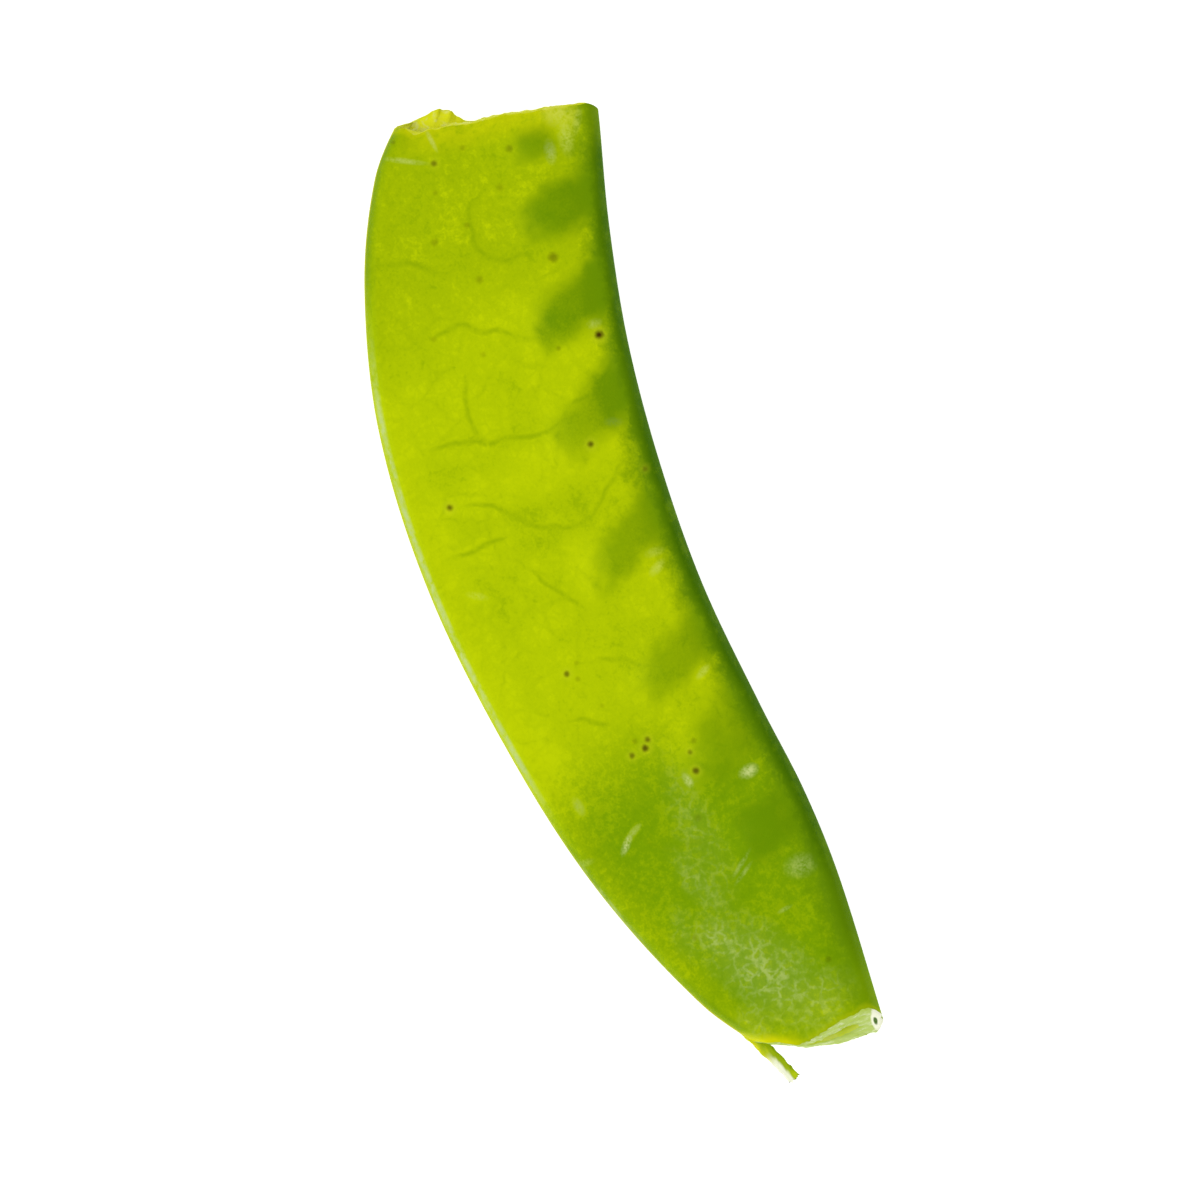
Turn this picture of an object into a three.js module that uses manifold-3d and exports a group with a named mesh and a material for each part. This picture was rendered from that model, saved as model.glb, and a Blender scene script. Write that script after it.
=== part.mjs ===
// A snow pea pod, trimmed at both ends and lying on one of its flat sides. Millimetres, +Z up.
//
// X runs from the wide end, which was torn off, to the narrow end, which was cut with a slanted knife.
// Y runs from the back seam, the convex edge, to the pea seam, the concave edge that the peas hang from.
// The pod is one grown piece: two thin walls joined along both seams, with a flat hollow between them
// that is open at both ends. Eight unripe peas, each a piece of its own, hang in the hollow by short stalks.
import * as THREE from "three";
import { mergeVertices } from "three/addons/utils/BufferGeometryUtils.js";
import Module from "manifold-3d";

// ---- Outline, seen from above: points that each seam passes through, [x, y].
// Each list runs a little past both ends of the pod, so that a torn edge can reach past the mean cut.
const BACK_SEAM = [
  [-38.6, 1.2], [-36.2, -2.1], [-32.9, -5.0], [-26.0, -8.2], [-16.1, -10.6], [-4.2, -11.0],
  [8.4, -9.4], [19.1, -6.8], [29.0, -2.6], [33.8, 0.8], [37.3, 3.4],
];
const PEA_SEAM = [
  [-38.7, 12.7], [-31.8, 11.1], [-24.6, 9.3], [-16.3, 7.8], [-7.6, 7.1], [1.3, 7.1],
  [10.6, 8.1], [17.2, 9.0], [23.5, 9.3], [33.6, 8.9], [37.3, 8.7],
];

const HALF_LENGTH = 36;

// ---- Thickness. A half thickness is measured from the pod's middle surface, where the two walls meet.
const BODY_HALF = 1.5; // both walls, away from the peas and the seams
const ENDS_THINNER = 0.22; // how much less the half thickness is at the two ends
const CROWN = 0.2; // share of the half thickness lost from mid width to a seam
const PEA_SEAM_ROUND = 0.75; // radius of the thick cord along the pea seam
const PEA_SEAM_SWELL = 0.3; // how far that cord stands out from the walls
const BACK_SEAM_ROUND = 0.8; // radius of the thin rib along the back seam
const BACK_SEAM_SWELL = 0.12;
const HOLLOW_HALF = 0.34; // half height of the hollow away from the peas
const PEA_SEAM_SOLID = 1.7; // from the pea seam's edge to the hollow
const BACK_SEAM_SOLID = 1.3; // from the back seam's edge to the hollow
const HOLLOW_ROUND = 0.6; // over which the hollow opens out from each seam

// ---- Peas, in a row along the pea seam: [x, distance from the seam's edge, size as a share of a full pea].
const PEAS = [
  [-31.6, 4.5, 0.78], [-26.7, 3.9, 1.0], [-19.7, 3.8, 1.0], [-12.0, 4.3, 0.97],
  [-2.8, 4.4, 1.0], [5.7, 4.3, 0.96], [12.3, 4.0, 0.88], [18.6, 3.5, 0.85],
];
const PEA_LONG = 2.05; // half axes of a full pea: along its stalk, across it, and its half thickness
const PEA_WIDE = 1.75;
const PEA_HALF = 1.0;
const PEA_LEAN = 0.42; // radians that a pea's long axis leans from straight across, towards the wide end
const STALK_ROUND = 0.28;
const STALK_FROM_SEAM = 2.05; // from the seam's edge to a stalk's tip
const WALL_BULGE = 0.78; // how far a full pea pushes the outside of each wall out
const HOLLOW_BULGE = 0.95; // how far the hollow is wider at a full pea
const BULGE_SPREAD = 1.3; // reach of a bulge, in pea radii

// ---- How it lies: a limp pod bows a little, so both ends are off the surface, and it leans on its bulges.
const END_LIFT = 1.3; // rise of the middle surface at the ends
const LEAN = 0.06; // radians, the back seam lower than the pea seam
const MIDDLE_UP = 1.62; // height of the middle surface at the pod's centre
const PRESSED_FLAT = 0; // height of the surface it lies on, where the underside is pressed flat

// ---- Cuts. Across a cut, the share goes from 0 at the back seam to 1 at the pea seam.
const WIDE_CUT = [-35.8, -32.85]; // x of the mean cut at the back seam and at the pea seam
const WIDE_CORNER = 0.8; // rounding of the wide end's corner at the pea seam
const TORN_BACK = 0.5; // how far the upper wall is torn back near the back seam
const TONGUE = 0.8; // how far the lower wall reaches out past it there
const TONGUE_AT = [0.23, 0.12]; // middle and half width of both, as shares of the cut
const NICK = 0.25; // depth of a notch in both walls beside that place
const NICK_AT = [0.37, 0.06];
const NARROW_CUT = [33.1, 34.0];
const NARROW_BOW = 0.7; // how far the narrow cut bows out between the seams
const KNIFE_SLANT = 0.6; // how far the narrow cut runs along the pod for each millimetre down
const TORN_CORNER = 0.5; // how much the narrow cut's corner at the back seam lost as its string tore away
const TORN_CORNER_WIDE = 0.3; // the share of the cut that lost it
const WIDE_JAGS = [[0.15, 17, 2.6], [0.13, 29, 1.4]]; // the waves of each ragged edge: [depth, pace, start]
const NARROW_JAGS = [[0.12, 31, 0.5]];
const STRING_FROM = [30.9, -0.85]; // a string of the back seam left hanging past the narrow cut
const STRING_TO = [36.0, 1.9];
const STRING_ROUND = [0.5, 0.34];

// ---- Fineness of the facets.
const STATIONS = 52;
const RING = 40;

// A smooth line through the points, y for x, by cubic pieces that share their slopes.
function seamAt(points, x) {
  let i = 1;
  while (i < points.length - 2 && points[i][0] < x) i += 1;
  const slope = (k) => {
    const before = points[Math.max(k - 1, 0)];
    const after = points[Math.min(k + 1, points.length - 1)];
    return (after[1] - before[1]) / (after[0] - before[0]);
  };
  const [x0, y0] = points[i - 1];
  const [x1, y1] = points[i];
  const run = x1 - x0;
  const rise = y1 - y0;
  const done = (x - x0) / run;
  const bend = (1 - done) * (slope(i - 1) * run - rise) + done * (rise - slope(i) * run);
  return y0 + done * rise + done * (1 - done) * bend;
}

const bell = (distance, reach) => Math.exp(-((distance / reach) ** 2));

// The rounded nose of a sheet's edge: 0 at the edge, 1 from a distance of radius on.
function nose(distance, radius) {
  const share = Math.min(Math.max(distance / radius, 0), 1);
  return Math.sqrt(share * (2 - share));
}

// Where each pea hangs, as [x, y, size, distance from the seam's edge].
const hanging = PEAS.map(([x, fromSeam, size]) => [x, seamAt(PEA_SEAM, x) - fromSeam, size, fromSeam]);

// How much of a pea's bulge is felt at a point: 1 over a full pea's centre, fading out round it.
function overPea(x, y) {
  let most = 0;
  for (const [peaX, peaY, size] of hanging) {
    const lengthwise = (y - peaY) * Math.cos(PEA_LEAN) - (x - peaX) * Math.sin(PEA_LEAN);
    const crosswise = (x - peaX) * Math.cos(PEA_LEAN) + (y - peaY) * Math.sin(PEA_LEAN);
    const away = Math.hypot(lengthwise / PEA_LONG, crosswise / PEA_WIDE) / size;
    most = Math.max(most, size * bell(away, BULGE_SPREAD));
  }
  return most;
}

// The surface half way between the two walls.
function middleUp(x, y) {
  const fromMiddle = y - (seamAt(BACK_SEAM, x) + seamAt(PEA_SEAM, x)) / 2;
  return MIDDLE_UP + END_LIFT * (x / HALF_LENGTH) ** 2 + LEAN * fromMiddle;
}

// Half the thickness of the pod at a point.
function outerHalf(x, y) {
  const fromPeaSeam = seamAt(PEA_SEAM, x) - y;
  const fromBackSeam = y - seamAt(BACK_SEAM, x);
  const offCentre = (fromPeaSeam - fromBackSeam) / (fromPeaSeam + fromBackSeam);
  const body = (BODY_HALF - ENDS_THINNER * (x / HALF_LENGTH) ** 2) * (1 - CROWN * offCentre ** 2);
  const cord = PEA_SEAM_SWELL * bell(fromPeaSeam - PEA_SEAM_ROUND, PEA_SEAM_ROUND);
  const rib = BACK_SEAM_SWELL * bell(fromBackSeam - BACK_SEAM_ROUND, BACK_SEAM_ROUND);
  const full = body + cord + rib + WALL_BULGE * overPea(x, y);
  return full * nose(fromPeaSeam, PEA_SEAM_ROUND) * nose(fromBackSeam, BACK_SEAM_ROUND);
}

// Half the height of the hollow at a point.
function innerHalf(x, y) {
  const fromPeaSeam = seamAt(PEA_SEAM, x) - PEA_SEAM_SOLID - y;
  const fromBackSeam = y - seamAt(BACK_SEAM, x) - BACK_SEAM_SOLID;
  const full = HOLLOW_HALF + HOLLOW_BULGE * overPea(x, y);
  return full * nose(fromPeaSeam, HOLLOW_ROUND) * nose(fromBackSeam, HOLLOW_ROUND);
}

// The waves of a ragged edge, which die out towards both seams.
function jagged(waves, share) {
  const depths = waves.map(([depth, pace, start]) => depth * Math.sin(pace * share + start));
  return 4 * share * (1 - share) * depths.reduce((total, depth) => total + depth, 0);
}

// x of the wide end's torn edge. In one place the upper wall is torn back, and the lower one shows past it.
function wideEnd(share, up) {
  const nick = NICK * bell(share - NICK_AT[0], NICK_AT[1]);
  const tear = (up > 0 ? TORN_BACK : -TONGUE) * bell(share - TONGUE_AT[0], TONGUE_AT[1]);
  const fromPeaSeam = (1 - share) * (seamAt(PEA_SEAM, WIDE_CUT[1]) - seamAt(BACK_SEAM, WIDE_CUT[0]));
  const corner = WIDE_CORNER * (1 - nose(fromPeaSeam, WIDE_CORNER));
  const mean = WIDE_CUT[0] + (WIDE_CUT[1] - WIDE_CUT[0]) * share;
  return mean + jagged(WIDE_JAGS, share) + nick + tear + corner;
}

// x of the narrow end's cut, which the knife's slant carries further on the underside. Its bow is greatest
// a third of the way from the back seam, where share * (1 - share) ** 2 comes to 4 / 27.
function narrowEnd(share, up) {
  const mean = NARROW_CUT[0] + (NARROW_CUT[1] - NARROW_CUT[0]) * share;
  const bow = NARROW_BOW * (27 / 4) * share * (1 - share) ** 2;
  const lost = TORN_CORNER * Math.max(0, 1 - share / TORN_CORNER_WIDE) ** 2;
  return mean + bow + jagged(NARROW_JAGS, share) - lost - KNIFE_SLANT * up;
}

// The pod's walls start as a thick straight pipe: a closed profile of two lines, turned round its axis.
// Its points are then moved to their places, by how far along and how far round the pod each one is.
function podWalls() {
  const profile = [];
  for (let i = 0; i <= STATIONS; i += 1) profile.push(new THREE.Vector2(2, i / STATIONS));
  for (let i = STATIONS; i >= 0; i -= 1) profile.push(new THREE.Vector2(1, i / STATIONS));
  profile.push(profile[0].clone());
  const pipe = new THREE.LatheGeometry(profile, RING);
  const place = pipe.getAttribute("position");
  for (let i = 0; i < place.count; i += 1) {
    const { x: radius, y: along } = profile[i % profile.length];
    const turn = (2 * Math.PI * (Math.floor(i / profile.length) % RING)) / RING;
    const share = (1 + Math.cos(turn)) / 2;
    const side = Math.abs(Math.sin(turn)) < 1e-9 ? 0 : Math.sign(Math.sin(turn));
    const [half, peaSolid, backSolid] =
      radius > 1.5 ? [outerHalf, 0, 0] : [innerHalf, PEA_SEAM_SOLID, BACK_SEAM_SOLID];
    const acrossAt = (x) => {
      const low = seamAt(BACK_SEAM, x) + backSolid;
      return low + share * (seamAt(PEA_SEAM, x) - peaSolid - low);
    };
    const from = wideEnd(share, side);
    const near = narrowEnd(share, 0);
    const to = narrowEnd(share, side * half(near, acrossAt(near)));
    const x = from + along * (to - from);
    const y = acrossAt(x);
    const z = middleUp(x, y) + side * half(x, y);
    place.setXYZ(i, x, y, Math.max(z, PRESSED_FLAT));
  }
  return pipe;
}

// A closed geometry as a solid that can be joined to others.
const wasm = await Module();
wasm.setup();
function solidOf(geometry) {
  const bare = geometry.index ? geometry.clone() : geometry;
  bare.deleteAttribute("normal");
  bare.deleteAttribute("uv");
  const merged = mergeVertices(bare, 1e-4);
  return new wasm.Manifold(
    new wasm.Mesh({
      numProp: 3,
      vertProperties: new Float32Array(merged.getAttribute("position").array),
      triVerts: new Uint32Array(merged.index.array),
    }),
  );
}

function geometryOf(solid) {
  const mesh = solid.getMesh();
  const geometry = new THREE.BufferGeometry();
  geometry.setAttribute("position", new THREE.BufferAttribute(mesh.vertProperties, 3));
  geometry.setIndex(new THREE.BufferAttribute(mesh.triVerts, 1));
  geometry.computeVertexNormals();
  return geometry;
}

// A tapered round strand between two points, with closed ends.
function strand(from, to, fromRound, toRound, sides) {
  const along = to.clone().sub(from);
  const geometry = new THREE.CylinderGeometry(toRound, fromRound, along.length(), sides, 1);
  const upright = new THREE.Vector3(0, 1, 0);
  geometry.applyQuaternion(new THREE.Quaternion().setFromUnitVectors(upright, along.clone().normalize()));
  geometry.translate(...from.clone().add(to).multiplyScalar(0.5));
  return geometry;
}

// The walls, with the string of the back seam joined on at the narrow end.
function podSolid() {
  const at = ([x, y]) => new THREE.Vector3(x, y, middleUp(x, y));
  const string = strand(at(STRING_FROM), at(STRING_TO), STRING_ROUND[0], STRING_ROUND[1], 8);
  return geometryOf(solidOf(podWalls()).add(solidOf(string)));
}

// One flattened pea and its stalk, which leans from the pea's top towards the seam.
function peaSolid([x, y, size, fromSeam]) {
  const body = new THREE.SphereGeometry(1, 14, 8);
  body.scale(PEA_LONG * size, PEA_WIDE * size, PEA_HALF * size);
  const root = new THREE.Vector3(PEA_LONG * size * 0.75, 0, 0);
  const tip = new THREE.Vector3((fromSeam - STALK_FROM_SEAM) / Math.cos(PEA_LEAN), 0, 0);
  const stalk = strand(root, tip, STALK_ROUND, STALK_ROUND, 6);
  const joined = geometryOf(solidOf(body).add(solidOf(stalk)));
  joined.rotateZ(Math.PI / 2 + PEA_LEAN);
  joined.translate(x, y, 0);
  const place = joined.getAttribute("position");
  for (let i = 0; i < place.count; i += 1) {
    place.setZ(i, place.getZ(i) + middleUp(place.getX(i), place.getY(i)));
  }
  joined.computeVertexNormals();
  return joined;
}

// ---- Materials.
const skinFinish = new THREE.MeshStandardMaterial({ color: 0xb4c800, roughness: 0.42, metalness: 0 });
const peaFinish = new THREE.MeshStandardMaterial({ color: 0x86a818, roughness: 0.35, metalness: 0 });

// ---- The whole pod.
const snowPea = new THREE.Group();
const pod = new THREE.Mesh(podSolid(), skinFinish);
pod.name = "pod";
snowPea.add(pod);
hanging.forEach((place, i) => {
  const pea = new THREE.Mesh(peaSolid(place), peaFinish);
  pea.name = `pea_${i + 1}`;
  snowPea.add(pea);
});

export default snowPea;
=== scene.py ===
import math

import bmesh
import bpy
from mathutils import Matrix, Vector, kdtree, noise


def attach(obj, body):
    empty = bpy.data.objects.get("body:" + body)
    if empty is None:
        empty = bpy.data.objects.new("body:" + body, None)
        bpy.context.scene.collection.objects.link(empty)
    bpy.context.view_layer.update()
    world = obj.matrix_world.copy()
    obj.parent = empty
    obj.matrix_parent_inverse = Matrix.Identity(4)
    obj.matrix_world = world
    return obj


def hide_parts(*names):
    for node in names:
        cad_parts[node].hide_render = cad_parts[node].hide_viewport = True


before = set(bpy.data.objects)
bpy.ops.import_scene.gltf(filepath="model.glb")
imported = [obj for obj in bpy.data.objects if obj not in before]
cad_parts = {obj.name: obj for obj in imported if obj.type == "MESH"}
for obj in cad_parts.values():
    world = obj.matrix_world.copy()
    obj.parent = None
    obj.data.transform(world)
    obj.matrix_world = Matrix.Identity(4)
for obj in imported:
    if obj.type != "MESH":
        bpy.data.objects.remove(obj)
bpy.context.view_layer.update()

# ---- The pod. Two thin juicy walls, grown as one piece round a flat hollow, with a fine string along the
# back seam and a thick double one along the pea seam. One end is torn off, and the other is cut at a slant.
# Sizes are in millimetres until a piece is finished. X runs along the pod, and Y across it to the pea seam.
BACK_SEAM = [
    (-38.6, 1.2), (-36.2, -2.1), (-32.9, -5.0), (-26.0, -8.2), (-16.1, -10.6), (-4.2, -11.0),
    (8.4, -9.4), (19.1, -6.8), (29.0, -2.6), (33.8, 0.8), (37.3, 3.4),
]
PEA_SEAM = [
    (-38.7, 12.7), (-31.8, 11.1), (-24.6, 9.3), (-16.3, 7.8), (-7.6, 7.1), (1.3, 7.1),
    (10.6, 8.1), (17.2, 9.0), (23.5, 9.3), (33.6, 8.9), (37.3, 8.7),
]
HALF_LENGTH = 36
METRES = 0.001  # a millimetre in metres

# Half the thickness of the pod and of its hollow, and how far in from the edge each seam's parts reach.
BODY_HALF = 1.5
ENDS_THINNER = 0.22
CROWN = 0.2  # how much thinner the pod is beside its seams, as a share
PEA_SEAM_ROUND = 0.75
PEA_SEAM_SWELL = 0.3
BACK_SEAM_ROUND = 0.8
BACK_SEAM_SWELL = 0.12
HOLLOW_HALF = 0.34
PEA_SEAM_SOLID = 1.7
BACK_SEAM_SOLID = 1.3
HOLLOW_ROUND = 0.6

# Each pea: x, distance of its centre from the seam's edge, size as a share of a full pea.
PEAS = [
    (-31.6, 4.5, 0.78), (-26.7, 3.9, 1.0), (-19.7, 3.8, 1.0), (-12.0, 4.3, 0.97),
    (-2.8, 4.4, 1.0), (5.7, 4.3, 0.96), (12.3, 4.0, 0.88), (18.6, 3.5, 0.85),
]
PEA_LONG = 2.05  # half the length of a full pea
PEA_WIDE = 1.75  # half its width
PEA_LEAN = 0.42  # how far its length turns from Y, in radians
PEA_REACH = 7  # how far along the pod a pea is felt
WALL_BULGE = 0.78  # how far a full pea pushes each wall out
HOLLOW_BULGE = 0.95
BULGE_SPREAD = 1.3  # how far that reaches, in sizes of the pea

END_LIFT = 1.3  # how far the ends bow up from the table
LEAN = 0.06  # how steeply the pod rises towards the pea seam
MIDDLE_UP = 1.62  # height of the pod's middle over the table

# The torn and the cut end: x at the back seam and at the pea seam, then what tear and knife did to the edge.
# Places across an end are shares of the way from the back seam to the pea seam.
WIDE_CUT = (-35.8, -32.85)
WIDE_CORNER = 0.8
TORN_WAVES = 0.34  # how uneven the torn edge is, in long waves, in short ones and in fibres
TORN_RIPPLES = 0.14
TORN_FIBRES = 0.05
TORN_BACK = 0.5  # how much more the upper wall lost beside the back seam
TORN_BACK_STARTS = (0.03, 0.14)
TORN_BACK_STOPS = (0.12, 0.42)
TONGUE = 0.8  # how far the lower wall's tongue sticks out
TONGUE_AT = (0.23, 0.12)  # its middle and its reach
NICK = 0.25
NICK_AT = (0.37, 0.05)
TEAR = 66  # picks the torn edge's unevenness
NARROW_CUT = (33.1, 34.0)
NARROW_BOW = 0.7  # how far the cut bows out, most of all a third of the way across
KNIFE_SLANT = 0.66  # how much further the cut is on the underside, for each millimetre down
CUT_WAVES = 0.16
CUT_RIPPLES = 0.06
TORN_CORNER = 0.5  # how much the corner by the back seam lost with the string

# The fine relief that only this skin has.
PUCKER = 0.05  # soft unevenness of the walls
LIP = 0.14  # how far the pea seam's two strings stand out
LIP_TURN = 0.2  # how wide they are, in radians round the pod's edge
GROOVE = 0.2  # the furrow between them
GROOVE_TURN = 0.075
RIB = 0.1  # how far the back seam's string stands out
RIB_TURN = 0.2
FRAY = 0.22  # how far the torn edge's inner layer sticks out past the skin
THIN_RIM = 0.34  # how much of the wall's thickness is lost at the torn edge
RIM_REACH = 0.55
CUT_SWELL = 0.1  # how far soft tissue stands out of the cut faces
CUT_ROWS = 4
RINGS = 300
AROUND = 224
HOLLOW_RINGS = 40
SAME_SPOT = 1e-5  # points this close are one


def seam_at(points, x):
    """y of a seam at x: cubic pieces through its points that share their slopes."""
    i = 1
    while i < len(points) - 2 and points[i][0] < x:
        i += 1

    def slope(k):
        before, after = points[max(k - 1, 0)], points[min(k + 1, len(points) - 1)]
        return (after[1] - before[1]) / (after[0] - before[0])

    (x0, y0), (x1, y1) = points[i - 1], points[i]
    run, rise = x1 - x0, y1 - y0
    done = (x - x0) / run
    bend = (1 - done) * (slope(i - 1) * run - rise) + done * (rise - slope(i) * run)
    return y0 + done * rise + done * (1 - done) * bend


def bell(distance, reach):
    return math.exp(-((distance / reach) ** 2))


def nose(distance, radius):
    """The rounded nose of a sheet's edge: 0 at the edge, 1 from a distance of radius on."""
    share = min(max(distance / radius, 0), 1)
    return math.sqrt(share * (2 - share))


def fade(value, start, stop):
    """1 at start and before it, 0 at stop and past it, and a smooth slope between them."""
    share = min(max((value - start) / (stop - start), 0), 1)
    return 1 - share * share * (3 - 2 * share)


def ripple(x, y, layer):
    """Smooth unevenness between about -0.5 and 0.5."""
    return noise.noise((x, y, layer))


HANGING = [(x, seam_at(PEA_SEAM, x) - from_seam, size, from_seam) for x, from_seam, size in PEAS]


def pea_frame(x, y, pea_x, pea_y):
    """A point seen from a pea's centre: along the pea's length, and across it."""
    lengthwise = (y - pea_y) * math.cos(PEA_LEAN) - (x - pea_x) * math.sin(PEA_LEAN)
    crosswise = (x - pea_x) * math.cos(PEA_LEAN) + (y - pea_y) * math.sin(PEA_LEAN)
    return lengthwise, crosswise


def over_pea(x, y):
    """How much of a pea's bulge is felt at a point: 1 over a full pea's centre, fading out round it."""
    most = 0
    for pea_x, pea_y, size, _ in HANGING:
        if abs(x - pea_x) < PEA_REACH:
            lengthwise, crosswise = pea_frame(x, y, pea_x, pea_y)
            away = math.hypot(lengthwise / PEA_LONG, crosswise / PEA_WIDE) / size
            most = max(most, size * bell(away, BULGE_SPREAD))
    return most


def middle_up(x, y):
    """Height of the surface half way between the two walls."""
    from_middle = y - (seam_at(BACK_SEAM, x) + seam_at(PEA_SEAM, x)) / 2
    return MIDDLE_UP + END_LIFT * (x / HALF_LENGTH) ** 2 + LEAN * from_middle


def outer_half(x, y):
    """Half the thickness of the pod at a point."""
    from_pea_seam = seam_at(PEA_SEAM, x) - y
    from_back_seam = y - seam_at(BACK_SEAM, x)
    off_centre = (from_pea_seam - from_back_seam) / (from_pea_seam + from_back_seam)
    body = (BODY_HALF - ENDS_THINNER * (x / HALF_LENGTH) ** 2) * (1 - CROWN * off_centre**2)
    cord = PEA_SEAM_SWELL * bell(from_pea_seam - PEA_SEAM_ROUND, PEA_SEAM_ROUND)
    rib = BACK_SEAM_SWELL * bell(from_back_seam - BACK_SEAM_ROUND, BACK_SEAM_ROUND)
    full = body + cord + rib + WALL_BULGE * over_pea(x, y)
    return full * nose(from_pea_seam, PEA_SEAM_ROUND) * nose(from_back_seam, BACK_SEAM_ROUND)


def inner_half(x, y):
    """Half the height of the hollow at a point."""
    from_pea_seam = seam_at(PEA_SEAM, x) - PEA_SEAM_SOLID - y
    from_back_seam = y - seam_at(BACK_SEAM, x) - BACK_SEAM_SOLID
    full = HOLLOW_HALF + HOLLOW_BULGE * over_pea(x, y)
    return full * nose(from_pea_seam, HOLLOW_ROUND) * nose(from_back_seam, HOLLOW_ROUND)


WIDE_END_WIDTH = seam_at(PEA_SEAM, WIDE_CUT[1]) - seam_at(BACK_SEAM, WIDE_CUT[0])


def wide_end(share, side, inner):
    """x of the torn edge, for a share of the way from the back seam to the pea seam."""
    across = WIDE_END_WIDTH * share
    rough = TORN_WAVES * ripple(across * 0.55, TEAR, 0) + TORN_RIPPLES * ripple(across * 1.3, TEAR + 5, 0)
    rough += TORN_FIBRES * ripple(across * 3.6, TEAR, 1 + 3 * side + inner)
    rough *= min(1, 6 * share * (1 - share))
    nick = NICK * bell(share - NICK_AT[0], NICK_AT[1])
    if side > 0:
        tear = TORN_BACK * fade(share, *TORN_BACK_STOPS) * (1 - fade(share, *TORN_BACK_STARTS))
    else:
        tear = -TONGUE * bell(share - TONGUE_AT[0], TONGUE_AT[1])
    corner = WIDE_CORNER * (1 - nose((1 - share) * WIDE_END_WIDTH, WIDE_CORNER))
    ragged = FRAY * (0.6 + 1.1 * ripple(across * 1.6, 7 + side, 3)) * min(1, 5 * share * (1 - share))
    ragged *= 1 - 0.6 * bell(share - TONGUE_AT[0], TONGUE_AT[1])
    layers = -ragged / 2 if inner else ragged / 2
    return WIDE_CUT[0] + (WIDE_CUT[1] - WIDE_CUT[0]) * share + rough + nick + tear + corner + layers


def narrow_end(share, up):
    """x of the knife's cut, which runs further along on the underside, most of all by the pea seam."""
    mean = NARROW_CUT[0] + (NARROW_CUT[1] - NARROW_CUT[0]) * share
    bow = NARROW_BOW * (27 / 4) * share * (1 - share) ** 2
    rough = CUT_WAVES * ripple(share * 11, 1, 0) + CUT_RIPPLES * ripple(share * 40, 2, up)
    lost = TORN_CORNER * fade(share, 0.02, 0.3)
    slant = KNIFE_SLANT * (0.05 + 0.95 * (1 - fade(share, 0.1, 0.75)))
    return mean + bow + rough - lost - slant * up


def pipe_point(along, around, inner):
    """The place of one point of the pod's pipe, for shares of the way along and round it."""
    turn = 2 * math.pi * around
    share = (1 + math.cos(turn)) / 2
    side = 0 if abs(math.sin(turn)) < 1e-6 else math.copysign(1, math.sin(turn))
    half = inner_half if inner else outer_half

    def across_at(x):
        low = seam_at(BACK_SEAM, x) + (BACK_SEAM_SOLID if inner else 0)
        return low + share * (seam_at(PEA_SEAM, x) - (PEA_SEAM_SOLID if inner else 0) - low)

    def whole_share(x):
        """The share of the way between the pod's own edges, for a point of the hollow too."""
        low = seam_at(BACK_SEAM, x)
        return (across_at(x) - low) / (seam_at(PEA_SEAM, x) - low)

    start = wide_end(whole_share(WIDE_CUT[0]), side, inner)
    near = narrow_end(whole_share(NARROW_CUT[0]), 0)
    stop = narrow_end(whole_share(NARROW_CUT[0]), side * half(near, across_at(near)))
    x = start + along * (stop - start)
    y = across_at(x)
    up = half(x, y)
    if not inner:
        edge = min(1, 8 * share * (1 - share))
        up *= 1 - THIN_RIM * bell(x - start, RIM_REACH)
        up += PUCKER * edge * (ripple(x * 0.28, y * 0.4, 3 * side) + 0.4 * ripple(x * 0.9, y * 1.1, 5 * side))
        from_front = min(turn, 2 * math.pi - turn)
        y += LIP * bell(from_front, LIP_TURN) - GROOVE * bell(from_front, GROOVE_TURN)
        y -= RIB * bell(turn - math.pi, RIB_TURN)
    return Vector((x, y, max(middle_up(x, y) + side * up, 0)))


def new_sheet(form, rows, around):
    """The points of a flat sheet, one wide and one long about its middle, that is then rolled up."""
    return bmesh.ops.create_grid(form, x_segments=rows, y_segments=around, size=0.5)["verts"]


pod_form = bmesh.new()
SKIN, CUT, LINING = 0, 1, 2  # the pod's three finishes, by material slot
for inner, rings in ((False, RINGS), (True, HOLLOW_RINGS)):
    sheet = new_sheet(pod_form, rings, AROUND)
    for point in sheet:
        point.co = pipe_point(point.co.x + 0.5, point.co.y + 0.5, inner)
    for face in {face for point in sheet for face in point.link_faces}:
        face.material_index = LINING if inner else SKIN
bmesh.ops.remove_doubles(pod_form, verts=pod_form.verts[:], dist=SAME_SPOT)

# The cut faces close the gap between skin and hollow at each end. Soft tissue swells out of them a little.
for end in (-1, 1):
    rims = [edge for edge in pod_form.edges if edge.is_boundary and edge.verts[0].co.x * end > 0]
    joined = bmesh.ops.bridge_loops(pod_form, edges=rims)
    for face in joined["faces"]:
        face.material_index = CUT
    split = bmesh.ops.subdivide_edges(pod_form, edges=joined["edges"], cuts=CUT_ROWS, use_grid_fill=True)
    for point in {part for part in split["geom_inner"] if isinstance(part, bmesh.types.BMVert)}:
        point.co.x += CUT_SWELL * (end * 0.7 + 1.1 * noise.noise(point.co * 2.2))
bmesh.ops.recalc_face_normals(pod_form, faces=pod_form.faces[:])

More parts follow.
